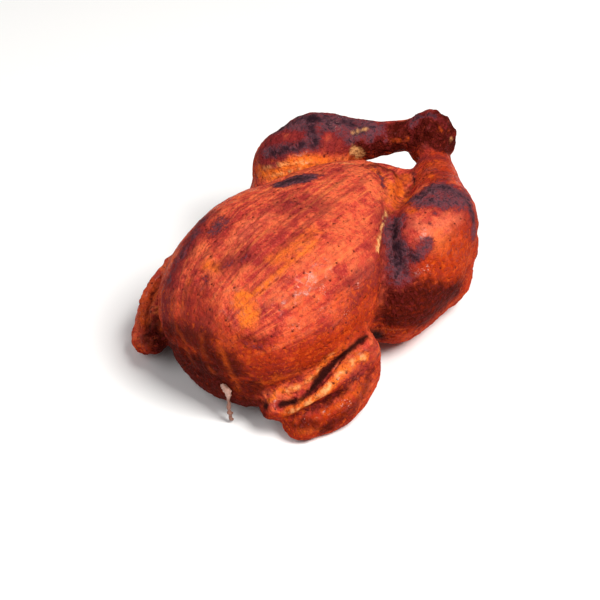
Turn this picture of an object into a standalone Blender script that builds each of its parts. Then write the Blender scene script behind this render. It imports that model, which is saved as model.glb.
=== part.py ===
"""A whole roast chicken lying on its back, legs crossed over the vent and wings folded.

It is one solid. +X runs from the neck end to the leg ends, the leg on the +Y side crosses on top,
and Z is zero at the flat spot of the back that the bird rests on. Lengths are in metres.
"""

import math

import bmesh
import bpy
import numpy as np
from mathutils import Matrix, Vector

PART_NAME = "roast_chicken"

# Trunk: a superellipsoid that is widest and highest forward of its middle
TRUNK_HALF_LENGTH = 0.102
TRUNK_CENTRE_X = -0.006
TRUNK_HALF_WIDTH = 0.065
TRUNK_WIDEST_X = -0.036
TRUNK_TAPER = 1.85
TRUNK_HIGHEST_X = -0.018
TRUNK_TOP = 0.106
TRUNK_BOTTOM = -0.004
TRUNK_WAIST_Z = 0.054
TRUNK_FULLNESS = 2.35
TRUNK_TAIL_LIFT = 0.012
TRUNK_CORNERS = 0.92

# Breast: one lobe each side of the middle
LOBE_CENTRE = Vector((-0.026, 0.027, 0.064))
LOBE_RADII = (0.068, 0.036, 0.040)

# Each limb is a row of centres and radii, from the body outwards
FAR_THIGH = (
    ((0.076, 0.043, 0.028), 0.0295),
    ((0.042, 0.048, 0.050), 0.0280),
    ((0.056, 0.055, 0.070), 0.0270),
)
FAR_DRUMSTICK = (
    ((0.058, 0.056, 0.077), 0.0280),
    ((0.080, 0.051, 0.084), 0.0255),
    ((0.101, 0.035, 0.085), 0.0165),
    ((0.113, 0.022, 0.086), 0.0120),
    ((0.130, 0.004, 0.0865), 0.0130),
)
FAR_KNOBS = (((0.136, -0.003, 0.091), 0.0148), ((0.141, -0.006, 0.084), 0.0142))
NEAR_THIGH = (
    ((0.074, -0.048, 0.029), 0.0305),
    ((0.022, -0.052, 0.040), 0.0300),
    ((0.048, -0.057, 0.054), 0.0315),
)
NEAR_DRUMSTICK = (
    ((0.044, -0.053, 0.064), 0.0305),
    ((0.073, -0.052, 0.068), 0.0290),
    ((0.100, -0.033, 0.072), 0.0185),
    ((0.120, -0.017, 0.073), 0.0150),
    ((0.137, -0.002, 0.075), 0.0138),
)
NEAR_CALF = ((0.0760, -0.0500, 0.0480), 0.0292)
NEAR_KNOBS = (((0.148, 0.001, 0.077), 0.0145), ((0.152, 0.000, 0.083), 0.0115))

# Each wing lies folded against the flank, here on the +Y side
UPPER_ARM = (((-0.060, 0.046, 0.050), 0.014), ((-0.034, 0.066, 0.034), 0.016))
WING_BAND = (((-0.093, 0.047, 0.019), 0.009), ((-0.066, 0.065, 0.030), 0.011), ((-0.034, 0.066, 0.036), 0.014))
FAR_WING_SHIFT = Vector((-0.002, 0.0036, 0.005))
FOREARM = (((-0.035, 0.0670, 0.021), 0.0165), ((-0.060, 0.0685, 0.013), 0.0165), ((-0.0835, 0.0610, 0.0095), 0.0120))

# Belly skin behind the breast, neck skin and tail
BELLY = (((0.068, 0.004, 0.075), 0.0180), ((0.083, 0.002, 0.072), 0.0145), ((0.091, -0.010, 0.068), 0.0155))
NECK_CENTRE = Vector((-0.079, -0.002, 0.027))
NECK_RADII = (0.025, 0.046, 0.027)
TAIL_CENTRE = Vector((0.106, 0.0, 0.032))
TAIL_RADII = (0.026, 0.018, 0.012)
TAIL_TILT = -28.0

# Vent: a blind hollow that runs forward from between the thighs
VENT = (((0.112, 0.0, 0.066), 0.0175), ((0.084, 0.0, 0.060), 0.0150), ((0.068, 0.0, 0.056), 0.0120))

# Creases in the skin, as lines along it: the near wing's, then the legs' and the breast's rear edge
NEAR_WING_CREASES = (
    ((-0.092, -0.054, 0.027), (-0.083, -0.063, 0.034), (-0.061, -0.066, 0.043), (-0.038, -0.067, 0.048)),
    ((-0.092, -0.062, 0.018), (-0.080, -0.070, 0.023), (-0.066, -0.076, 0.027)),
)
LEG_CREASES = (
    (
        (0.082, -0.024, 0.080),
        (0.061, -0.032, 0.088),
        (0.035, -0.042, 0.091),
        (0.012, -0.054, 0.078),
        (-0.002, -0.063, 0.060),
    ),
    ((0.066, 0.026, 0.087), (0.043, 0.037, 0.090), (0.017, 0.057, 0.078), (0.004, 0.063, 0.062)),
    ((0.066, 0.004, 0.098), (0.066, -0.010, 0.096), (0.056, -0.022, 0.094), (0.040, -0.034, 0.091)),
)
WING_CREASE_HALF_WIDTH = 0.0042
WING_CREASE_DEPTH = 0.0050
LEG_CREASE_HALF_WIDTH = 0.0050
LEG_CREASE_DEPTH = 0.0035

# Skin
FUSE_VOXEL = 0.0022
FUSE_SMOOTHING = 7
TRIANGLES = 9800
SKIN_COLOUR = (0.42, 0.09, 0.02, 1.0)

FAR, NEAR = 1.0, -1.0


def clear_scene():
    """Removes the objects of the startup scene."""
    for obj in list(bpy.data.objects):
        bpy.data.objects.remove(obj, do_unlink=True)


def new_collection(name):
    """A collection linked to the scene."""
    collection = bpy.data.collections.new(name)
    bpy.context.scene.collection.children.link(collection)
    return collection


def mesh_object(name, bm, collection):
    """An object made from a bmesh, with its normals facing out."""
    bmesh.ops.recalc_face_normals(bm, faces=bm.faces)
    mesh = bpy.data.meshes.new(name)
    bm.to_mesh(mesh)
    bm.free()
    obj = bpy.data.objects.new(name, mesh)
    collection.objects.link(obj)
    return obj


def applied(obj):
    """The object with its modifiers made part of its mesh."""
    bpy.context.view_layer.update()
    graph = bpy.context.evaluated_depsgraph_get()
    mesh = bpy.data.meshes.new_from_object(obj.evaluated_get(graph))
    obj.modifiers.clear()
    obj.data = mesh
    return obj


def bulge(position, peak, rear_power):
    """A superellipse's height along the trunk, 1 at the peak and 0 at both ends."""
    forward = position < peak
    reach = TRUNK_HALF_LENGTH + (peak - TRUNK_CENTRE_X if forward else TRUNK_CENTRE_X - peak)
    power = TRUNK_FULLNESS if forward else rear_power
    return (1.0 - min(1.0, abs(position - peak) / reach) ** power) ** (1.0 / power)


def trunk_point(x, across, up):
    """The point of the trunk's skin at this length, in the direction given across and up."""
    width = TRUNK_HALF_WIDTH * bulge(x, TRUNK_WIDEST_X, TRUNK_TAPER)
    rise = bulge(x, TRUNK_HIGHEST_X, TRUNK_FULLNESS)
    waist = TRUNK_WAIST_Z + TRUNK_TAIL_LIFT * max(0.0, (x - TRUNK_CENTRE_X) / (2 * TRUNK_HALF_LENGTH))
    height = (TRUNK_TOP - TRUNK_WAIST_Z) if up > 0 else (TRUNK_WAIST_Z - TRUNK_BOTTOM)
    y = width * math.copysign(abs(across) ** TRUNK_CORNERS, across)
    z = waist + height * rise * math.copysign(abs(up) ** TRUNK_CORNERS, up)
    return x, y, z


def trunk(collection):
    """The body, from a sphere whose poles lie on the X axis."""
    bm = bmesh.new()
    bmesh.ops.create_uvsphere(bm, u_segments=64, v_segments=48, radius=1.0)
    bmesh.ops.rotate(bm, verts=bm.verts, matrix=Matrix.Rotation(math.pi / 2, 3, "Y"))
    for vert in bm.verts:
        ring = max(1e-6, math.hypot(vert.co.y, vert.co.z))
        x = TRUNK_CENTRE_X + TRUNK_HALF_LENGTH * vert.co.x
        vert.co = trunk_point(x, vert.co.y / ring, vert.co.z / ring)
    return mesh_object("trunk", bm, collection)


def ball(name, centre, radii, collection, tilt=0.0):
    """An ellipsoid with the given half-axes, tilted about Y by an angle in degrees."""
    bm = bmesh.new()
    bmesh.ops.create_icosphere(bm, subdivisions=4, radius=1.0)
    turn = Matrix.Rotation(math.radians(tilt), 4, "Y")
    place = Matrix.Translation(centre) @ turn @ Matrix.Diagonal((*radii, 1.0))
    bmesh.ops.transform(bm, matrix=place, verts=bm.verts)
    return mesh_object(name, bm, collection)


def limb(name, knots, side, collection):
    """A tapered tube through the knots, with a ball at each end; `side` mirrors it in Y."""
    curve = bpy.data.curves.new(name, "CURVE")
    curve.dimensions = "3D"
    curve.bevel_depth = 1.0
    curve.bevel_resolution = 6
    curve.use_fill_caps = True
    curve.resolution_u = 8
    spline = curve.splines.new("BEZIER")
    spline.bezier_points.add(len(knots) - 1)
    for knot, ((x, y, z), radius) in zip(spline.bezier_points, knots):
        knot.co = (x, side * y, z)
        knot.radius = radius
        knot.handle_left_type = knot.handle_right_type = "AUTO"
    tube = bpy.data.objects.new(name, curve)
    collection.objects.link(tube)
    made = [welded_copy(tube, collection)]
    for (x, y, z), radius in (knots[0], knots[-1]):
        made.append(ball(f"{name}_end", (x, side * y, z), (radius,) * 3, collection))
    return made


def welded_copy(tube, collection):
    """A closed mesh of a capped curve, which takes the curve's place."""
    bpy.context.view_layer.update()
    graph = bpy.context.evaluated_depsgraph_get()
    mesh = bpy.data.meshes.new_from_object(tube.evaluated_get(graph))
    bm = bmesh.new()
    bm.from_mesh(mesh)
    bmesh.ops.remove_doubles(bm, verts=bm.verts, dist=1e-5)
    name = tube.name
    bpy.data.meshes.remove(mesh)
    bpy.data.objects.remove(tube)
    return mesh_object(name, bm, collection)


def legs(collection):
    """Both thighs and drumsticks, the far ankle lying on the near one."""
    limb("thigh_far", FAR_THIGH, 1.0, collection)
    limb("thigh_near", NEAR_THIGH, 1.0, collection)
    limb("drumstick_far", FAR_DRUMSTICK, 1.0, collection)
    limb("drumstick_near", NEAR_DRUMSTICK, 1.0, collection)
    for centre, radius in (NEAR_CALF, *FAR_KNOBS, *NEAR_KNOBS):
        ball("knob", centre, (radius,) * 3, collection)


def breast_and_wing(side, collection):
    """The breast lobe and the folded wing of one side."""
    centre = Vector((LOBE_CENTRE.x, side * LOBE_CENTRE.y, LOBE_CENTRE.z))
    ball("lobe", centre, LOBE_RADII, collection)
    for name, knots in (("upper_arm", UPPER_ARM), ("wing_band", WING_BAND), ("forearm", FOREARM)):
        for bone in limb(name, knots, side, collection):
            if side == FAR:
                bone.data.transform(Matrix.Translation(FAR_WING_SHIFT))


def joined(objects, name, collection):
    """The objects as one mesh, which takes their place."""
    bm = bmesh.new()
    for obj in objects:
        bm.from_mesh(obj.data)
        bpy.data.objects.remove(obj)
    return mesh_object(name, bm, collection)


def add_remesh(body):
    """Adds a modifier that makes the body one closed, evenly divided skin."""
    remesh = body.modifiers.new("Fuse", "REMESH")
    remesh.mode = "VOXEL"
    remesh.voxel_size = FUSE_VOXEL


def add_cut(body, cutter):
    """Adds a modifier that takes the cutter away from the body."""
    cut = body.modifiers.new("Cut", "BOOLEAN")
    cut.operation = "DIFFERENCE"
    cut.object = cutter


def fuse(body, hollow):
    """One closed skin round the overlapping solids, hollowed at the vent and with eased creases."""
    add_remesh(body)
    add_cut(body, hollow)
    add_remesh(body)
    smooth = body.modifiers.new("Ease", "SMOOTH")
    smooth.factor = 0.5
    smooth.iterations = FUSE_SMOOTHING
    return applied(body)


def distance_to_line(points, line):
    """How far each point is from the row of straight pieces through `line`."""
    nearest = np.full(len(points), np.inf)
    for start, end in zip(line, line[1:]):
        start, along = np.array(start), np.array(end) - np.array(start)
        share = np.clip((points - start) @ along / (along @ along), 0.0, 1.0)
        gap = points - start - share[:, None] * along
        nearest = np.minimum(nearest, np.linalg.norm(gap, axis=1))
    return nearest


def press(body, creases, half_width, deepest):
    """Pushes the skin in along each crease."""
    mesh = body.data
    points = np.empty(3 * len(mesh.vertices))
    normals = np.empty_like(points)
    mesh.vertices.foreach_get("co", points)
    mesh.vertex_normals.foreach_get("vector", normals)
    points, normals = points.reshape(-1, 3), normals.reshape(-1, 3)
    nearest = np.min([distance_to_line(points, line) for line in creases], axis=0)
    depth = deepest * np.exp(-((nearest / half_width) ** 2))
    mesh.vertices.foreach_set("co", (points - normals * depth[:, None]).ravel())
    mesh.update()


def on_far_wing(line):
    """The far wing's copy of a crease of the near wing."""
    return [Vector((x, -y, z)) + FAR_WING_SHIFT for x, y, z in line]


def vent_cutter(collection):
    """The hollow of the vent as one closed solid."""
    cutter = joined(limb("vent", VENT, 1.0, collection), "vent_cutter", collection)
    add_remesh(cutter)
    cutter.hide_render = True
    cutter.display_type = "WIRE"
    return applied(cutter)


def floor_cutter(collection):
    """A block whose top is the plane that the bird rests on."""
    bm = bmesh.new()
    bmesh.ops.create_cube(bm, size=0.5, matrix=Matrix.Translation((0.0, 0.0, -0.25)))
    cutter = mesh_object("floor_cutter", bm, collection)
    cutter.hide_render = True
    cutter.display_type = "WIRE"
    return cutter


def rest_flat(body, floor):
    """Thins the skin to its triangle count and cuts it off level with the floor."""
    thin = body.modifiers.new("Thin", "DECIMATE")
    thin.ratio = min(1.0, TRIANGLES / (2 * len(body.data.polygons)))
    add_cut(body, floor)
    return applied(body)


def centre_in_plan(body):
    """Moves the middle of the body's length and width to zero."""
    corners = [Vector(corner) for corner in body.bound_box]
    middle = (corners[0] + corners[6]) / 2
    body.data.transform(Matrix.Translation((-middle.x, -middle.y, 0.0)))


def skin_material():
    """Roasted skin."""
    material = bpy.data.materials.new("roasted_skin")
    material.use_nodes = True
    shader = material.node_tree.nodes["Principled BSDF"]
    shader.inputs["Base Color"].default_value = SKIN_COLOUR
    shader.inputs["Roughness"].default_value = 0.4
    return material


def solids(collection):
    """Every overlapping solid that the bird is made of."""
    trunk(collection)
    legs(collection)
    for side in (FAR, NEAR):
        breast_and_wing(side, collection)
    limb("belly", BELLY, 1.0, collection)
    ball("neck", NECK_CENTRE, NECK_RADII, collection)
    ball("tail", TAIL_CENTRE, TAIL_RADII, collection, TAIL_TILT)


def build():
    """Makes the chicken."""
    clear_scene()
    parts = new_collection(PART_NAME)
    cutters = new_collection("cutters")
    solids(parts)
    chicken = joined(list(parts.objects), PART_NAME, parts)
    fuse(chicken, vent_cutter(cutters))
    wing_creases = [*NEAR_WING_CREASES, *map(on_far_wing, NEAR_WING_CREASES)]
    press(chicken, wing_creases, WING_CREASE_HALF_WIDTH, WING_CREASE_DEPTH)
    press(chicken, LEG_CREASES, LEG_CREASE_HALF_WIDTH, LEG_CREASE_DEPTH)
    rest_flat(chicken, floor_cutter(cutters))
    centre_in_plan(chicken)
    chicken.data.materials.append(skin_material())
    chicken.data.shade_smooth()


build()
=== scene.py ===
"""A whole roast chicken, dressed round its solid: roasted skin, char, fat, bare shanks and the neck bone.

+X runs from the neck end to the crossed ankles, +Y to the side of the leg that crosses on top, and +Z is up.
Meshes are in metres. A place on the bird is given in millimetres, as read off a ruler.
"""

import logging
import math
from dataclasses import dataclass, field
from enum import Enum
from typing import Iterable, Sequence

import bmesh
import bpy
import numpy as np
from mathutils import Matrix, Vector


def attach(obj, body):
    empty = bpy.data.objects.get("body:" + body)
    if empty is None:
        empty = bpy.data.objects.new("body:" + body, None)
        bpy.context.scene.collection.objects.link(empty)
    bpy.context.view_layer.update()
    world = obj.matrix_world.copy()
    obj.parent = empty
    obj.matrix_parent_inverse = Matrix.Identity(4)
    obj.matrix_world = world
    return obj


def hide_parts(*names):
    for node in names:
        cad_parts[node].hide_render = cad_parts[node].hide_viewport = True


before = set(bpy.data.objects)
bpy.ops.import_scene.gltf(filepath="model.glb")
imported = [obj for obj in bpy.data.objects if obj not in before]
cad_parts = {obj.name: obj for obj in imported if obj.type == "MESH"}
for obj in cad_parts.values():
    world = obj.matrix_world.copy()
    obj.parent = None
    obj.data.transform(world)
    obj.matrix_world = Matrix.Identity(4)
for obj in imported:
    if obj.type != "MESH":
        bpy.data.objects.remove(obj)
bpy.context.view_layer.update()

MM = 0.001
BIRD = "roast_chicken"
BODY = "root"

# The bird's middle plane, and how far its far wing lies from the near one's mirror image, in millimetres
MIDLINE = -0.27
FAR_WING_SHIFT = (-2.0, 3.6, 5.0)

Place = tuple[float, float, float]
Colour = tuple[float, float, float]
Socket = bpy.types.NodeSocket
Sockets = bpy.types.bpy_prop_collection
Row = tuple[tuple[Place, ...] | float, ...]

log = logging.getLogger("chicken")


class Layer(Enum):
    """What lies on the skin, and the painted shade, shadow, sheen and glints, each with its own mask over
    the mesh.
    """

    CHAR = "char"
    FAT = "fat"
    AMBER = "amber"
    # Painted shadow
    CREVICE_SHADOW = "crevice"
    MAROON = "maroon"
    # Painted pinkish sheen
    ROSY_SHEEN = "rosy_sheen"
    # Dark browning, and painted shade
    UMBER_AND_SHADE = "umber_and_shade"
    # Deep red, partly painted shade
    DEEP_AND_SHADE = "deep"
    MEAT = "meat"
    COAL = "coal"
    EMBER = "ember"
    # Painted glints
    PAINTED_GLINT = "painted_glint"


class Noise:
    """Smooth, repeatable noise in space, from a seeded lattice of slopes."""

    CELLS = 256
    OCTAVE_SHIFT = 17.3
    GAIN = 1.6

    def __init__(self, seed: int) -> None:
        """Draws the lattice.

        Args:
            seed: Which lattice this is.
        """
        rng = np.random.default_rng(seed)
        self.order = np.tile(rng.permutation(self.CELLS), 3)
        slopes = rng.normal(size=(self.CELLS, 3))
        self.slopes = slopes / np.linalg.norm(slopes, axis=1)[:, None]

    def at(self, points: np.ndarray, size: float, octaves: int = 1) -> np.ndarray:
        """Noise at each point.

        Args:
            points: Points in metres, one a row.
            size: How wide one lump is, in millimetres.
            octaves: How many layers there are, each half as wide as the last.

        Returns:
            One value a point, mostly from -1 to 1.
        """
        total = np.zeros(len(points))
        for octave in range(octaves):
            step = size * MM / 2**octave
            total += self._layer(points / step + self.OCTAVE_SHIFT * octave) / 2**octave
        return self.GAIN * total

    def _layer(self, cells: np.ndarray) -> np.ndarray:
        """One layer of noise.

        Args:
            cells: Points, counted in widths of a lump.

        Returns:
            One value a point.
        """
        low = np.floor(cells).astype(int)
        part = cells - low
        ease = part**3 * (part * (part * 6 - 15) + 10)
        low %= self.CELLS
        total = np.zeros(len(cells))
        for corner in np.ndindex(2, 2, 2):
            spot = low + corner
            key = self.order[self.order[self.order[spot[:, 0]] + spot[:, 1]] + spot[:, 2]]
            reach = part - corner
            share = np.prod(np.where(corner, ease, 1 - ease), axis=1)
            total += share * np.einsum("ij,ij->i", self.slopes[key], reach)
        return total


def eased(values: np.ndarray) -> np.ndarray:
    """Values cut to between 0 and 1 and rounded off at both ends."""
    held = np.clip(values, 0.0, 1.0)
    return held * held * (3 - 2 * held)


def mirrored(route: Iterable[Place], shift: Place = (0.0, 0.0, 0.0)) -> tuple[Place, ...]:
    """The same route on the other side of the bird.

    Args:
        route: Places in millimetres.
        shift: How far the copy is moved.

    Returns:
        The places across the bird's middle plane.
    """
    return tuple((x + shift[0], 2 * MIDLINE - y + shift[1], z + shift[2]) for x, y, z in route)


@dataclass(frozen=True)
class Stroke:
    """A line or a spot on the skin. Places and widths are in millimetres.

    A route of one place is a spot. `soft` is how wide its edge fades and `ragged` how far that edge wanders.
    No edge wanders further than WANDER times `ragged`.
    """

    WANDER = 3.0

    route: tuple[Place, ...]
    reach: float
    soft: float = 2.0
    ragged: float = 0.0
    strength: float = 1.0
    lump: float = 5.0

    def distance(self, points: np.ndarray) -> np.ndarray:
        """How far each point is from the route.

        Args:
            points: Points in metres.

        Returns:
            Millimetres, one a point.
        """
        spots = np.array(self.route, dtype=float) * MM
        nearest = np.linalg.norm(points - spots[0], axis=1)
        for start, end in zip(spots, spots[1:]):
            along = end - start
            share = np.clip((points - start) @ along / (along @ along), 0.0, 1.0)
            gap = points - start - share[:, None] * along
            nearest = np.minimum(nearest, np.linalg.norm(gap, axis=1))
        return nearest / MM

    def weight(self, points: np.ndarray, noise: Noise) -> np.ndarray:
        """How fully the stroke covers each point.

        Args:
            points: Points in metres.
            noise: What makes the edge wander.

        Returns:
            From 0 outside to `strength` on the route.
        """
        away = self.distance(points)
        near = away < self.reach + 0.5 * self.soft + self.WANDER * self.ragged
        edge = self.reach - away[near]
        if self.ragged:
            edge = edge + self.ragged * noise.at(points[near], self.lump, 3)
        cover = np.zeros(len(points))
        cover[near] = self.strength * eased(edge / self.soft + 0.5)
        return cover

    def over(self) -> "Stroke":
        """The same stroke on the far wing or leg."""
        there = mirrored(self.route, FAR_WING_SHIFT)
        return Stroke(there, self.reach, self.soft, self.ragged, self.strength, self.lump)


@dataclass(frozen=True)
class Press:
    """A groove or a ridge: how far a stroke's skin moves out, in millimetres, and how lumpy that is."""

    stroke: Stroke
    lift: float
    lumps: float = 0.0

    def over(self) -> "Press":
        """The same groove or ridge on the far wing."""
        return Press(self.stroke.over(), self.lift, self.lumps)


@dataclass(frozen=True)
class Relief:
    """Lumps all over the skin: how high and how wide they are, in millimetres."""

    height: float
    size: float
    octaves: int = 2

    def at(self, points: np.ndarray, noise: Noise) -> np.ndarray:
        """How far each point is lifted, in millimetres."""
        return self.height * noise.at(points, self.size, self.octaves)


def placed(name: str, bm: bmesh.types.BMesh) -> bpy.types.Object:
    """Makes an object of a finished bmesh.

    Args:
        name: What the object and its mesh are called.
        bm: The shape, which is used up.

    Returns:
        The object, in the scene.
    """
    mesh = bpy.data.meshes.new(name)
    bm.to_mesh(mesh)
    bm.free()
    obj = bpy.data.objects.new(name, mesh)
    bpy.context.scene.collection.objects.link(obj)
    return obj


def divide(obj: bpy.types.Object, voxel: float) -> None:
    """Divides a piece's surface evenly and fuses its parts.

    Args:
        obj: The object whose mesh is remade.
        voxel: How far apart the new points are, in metres.
    """
    remesh = obj.modifiers.new("Even", "REMESH")
    remesh.mode = "VOXEL"
    remesh.voxel_size = voxel
    bpy.context.view_layer.update()
    graph = bpy.context.evaluated_depsgraph_get()
    mesh = bpy.data.meshes.new_from_object(obj.evaluated_get(graph))
    obj.modifiers.clear()
    old = obj.data
    obj.data = mesh
    bpy.data.meshes.remove(old)
    mesh.name = obj.name


class Hide:
    """The skin's mesh, worked on as arrays."""

    def __init__(self, obj: bpy.types.Object) -> None:
        """Reads the mesh of `obj`."""
        self.obj = obj
        self.read()

    def read(self) -> None:
        """Takes points, normals and edges from the mesh."""
        mesh = self.obj.data
        count = len(mesh.vertices)
        points = np.empty(3 * count)
        normals = np.empty(3 * count)
        ends = np.empty(2 * len(mesh.edges), dtype=np.int64)
        mesh.vertices.foreach_get("co", points)
        mesh.vertex_normals.foreach_get("vector", normals)
        mesh.edges.foreach_get("vertices", ends)
        self.points = points.reshape(-1, 3)
        self.normals = normals.reshape(-1, 3)
        self.ends = ends.reshape(-1, 2)
        self.links = np.bincount(self.ends.ravel(), minlength=count)

    def write(self) -> None:
        """Puts the points back in the mesh and reads the new normals."""
        self.obj.data.vertices.foreach_set("co", self.points.ravel())
        self.obj.data.update()
        self.read()

    def spread(self, values: np.ndarray, rounds: int) -> np.ndarray:
        """Evens values out over the skin.

        Args:
            values: One value, or one row, a point.
            rounds: How many times each point takes its neighbours' mean.

        Returns:
            The evened values.
        """
        table = values.reshape(len(values), -1)
        first, second = self.ends.T
        for _ in range(rounds):
            total = np.zeros_like(table)
            for column in range(table.shape[1]):
                total[:, column] += np.bincount(first, table[second, column], len(table))
                total[:, column] += np.bincount(second, table[first, column], len(table))
            table = 0.5 * table + 0.5 * total / self.links[:, None]
        return table.reshape(values.shape)

    def smooth(self, rounds: int) -> None:
        """Eases the whole skin."""
        self.points = self.spread(self.points, rounds)
        self.write()

    def push(self, lift: np.ndarray) -> None:
        """Moves each point along its normal by `lift` millimetres."""
        self.points = self.points + self.normals * (lift * MM)[:, None]
        self.write()

    def hollowness(self, rounds: int) -> np.ndarray:
        """How far each point lies below its surroundings, in millimetres; negative on a ridge."""
        around = self.spread(self.points, rounds)
        return np.einsum("ij,ij->i", around - self.points, self.normals) / MM

    def store(self, name: str, values: np.ndarray) -> None:
        """Keeps values on the mesh.

        Args:
            name: The attribute that holds them.
            values: One value, or one row of three, a point.
        """
        kind = "FLOAT" if values.ndim == 1 else "FLOAT_VECTOR"
        layer = self.obj.data.attributes.new(name, kind, "POINT")
        key = "value" if values.ndim == 1 else "vector"
        layer.data.foreach_set(key, values.astype(np.float32).ravel())


# The near wing: a deep crevice against the flank, a band of fat along each side of it, and a groove below
WING_CREVICE = (
    (-123, -50, 24),
    (-114, -60, 27),
    (-105, -64, 31),
    (-99, -67, 36),
    (-89, -67.5, 40),
    (-81, -68, 44),
    (-74, -70, 47),
    (-62, -72, 48),
)
WING_BAND_ABOVE = (
    (-124, -46, 30),
    (-117, -51, 32),
    (-109, -58, 35),
    (-98, -61, 39),
    (-92, -62, 42),
    (-85, -63, 47),
    (-76, -66, 50),
)
WING_BAND_BELOW = (
    (-120, -58, 22),
    (-115, -63, 25),
    (-109, -68, 29),
    (-103, -71, 33),
    (-96, -73, 36.5),
    (-86, -73, 42),
    (-70, -77, 43),
)
WING_GROOVE = (
    (-118, -62, 19),
    (-112, -66, 22),
    (-104, -71, 25),
    (-95, -75, 29),
    (-88, -78, 33),
    (-80, -81, 35),
)
WING_ROOT = ((-128, -44, 22), (-123, -53, 13))

# Where the skin of the breast ends and folds in behind
BREAST_EDGE = (
    (38, 6, 98),
    (31, -9, 98),
    (27, -18, 95),
    (20, -28, 92),
    (8, -37, 90),
    (-6, -45, 87),
    (-24, -53, 85),
    (-40, -59, 81),
)
FAR_CREASE = ((38, 26, 90), (17, 37, 94), (5, 48, 90), (-8, 57, 82), (-22, 63, 62))
NEAR_CREASE = ((54, -24, 80), (33, -32, 86), (8, -43, 89), (-16, -55, 78), (-30, -64, 60))

# The far drumstick's muscle ends in a ring round the shank
FAR_CUFF = ((76, 34, 101), (70, 29, 100), (63, 26, 96), (60, 24, 87), (64, 24, 78))
BREAST_FURROWS = (
    ((-110, -26, 90), (-91, -31, 97), (-75, -33, 101), (-50, -31, 104), (-26, -26, 103)),
    ((-101, -34, 91), (-80, -38, 97), (-55, -38, 101), (-30, -34, 101)),
    ((-96, -15, 98), (-75, -17, 103), (-45, -15, 106)),
    ((-88, -61, 64), (-65, -63, 68), (-43, -62, 69), (-24, -62, 68)),
    ((-95, -55, 75), (-74, -58, 80), (-51, -60, 81)),
    ((-100, -60, 54), (-82, -64, 58), (-60, -66, 58)),
)
NECK_FOLDS = (
    ((-108, 59, 41), (-118, 46, 48), (-130, 30, 50), (-134, 18, 46), (-132, 10, 34)),
    ((-127, 21, 76), (-133, 19, 63), (-134, 17, 50), (-132, 14, 38)),
    ((-134, -13, 62), (-135, -16, 52), (-133, -18, 42), (-129, -21, 30), (-124, -23, 20)),
    ((-135, -2, 58), (-135, -5, 44), (-132, -8, 31), (-126, -9, 20)),
    ((-133, -27, 52), (-130, -31, 40), (-124, -36, 28), (-118, -38, 18)),
    ((-125, 32, 64), (-129, 31, 52), (-127, 28, 36), (-120, 26, 22)),
)
KNOB_CRACKS = (
    ((100, -9, 100), (106, -9, 104), (113, -10, 103), (120, -11, 96)),
    ((103, 3, 104), (107, -3, 106), (108, -12, 102), (104, -18, 93)),
)


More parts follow.
